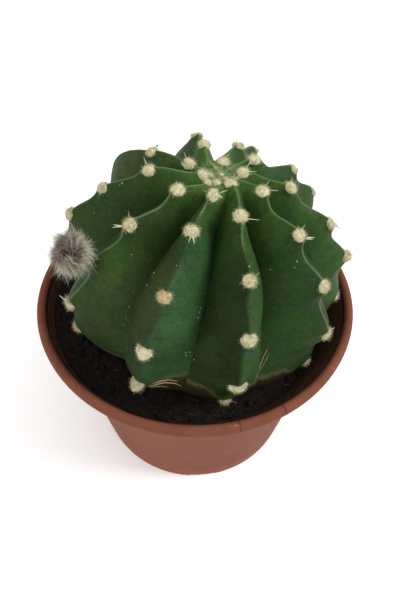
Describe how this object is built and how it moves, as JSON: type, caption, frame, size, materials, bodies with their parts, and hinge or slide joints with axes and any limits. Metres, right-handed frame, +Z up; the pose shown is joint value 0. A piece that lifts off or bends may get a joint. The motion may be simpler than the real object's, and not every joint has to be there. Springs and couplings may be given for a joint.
{
  "type": "potted domino cactus",
  "caption": "Domino cactus with woolly white areoles on sharp ribs and a furry side bud, growing in soil in a round terracotta-coloured plastic pot.",
  "frame": {"origin": "on the pot's axis, at the level of the face it stands on", "axes": "+Z up along the pot's axis, -Y towards the side the picture was taken from, +X to the picture's right"},
  "size_m": [0.12, 0.12, 0.1353],
  "materials": {
    "pot": "terracotta-coloured moulded plastic, satin, lightly scuffed",
    "soil": "dark moist peat soil",
    "cactus": "dark green waxy skin with cream wool on the areoles",
    "flower_bud": "grey-brown hair"
  },
  "bodies": {
    "root": {"pot": "pot", "soil": "soil", "cactus": "cactus", "flower_bud": "flower_bud"}
  },
  "joints": []
}
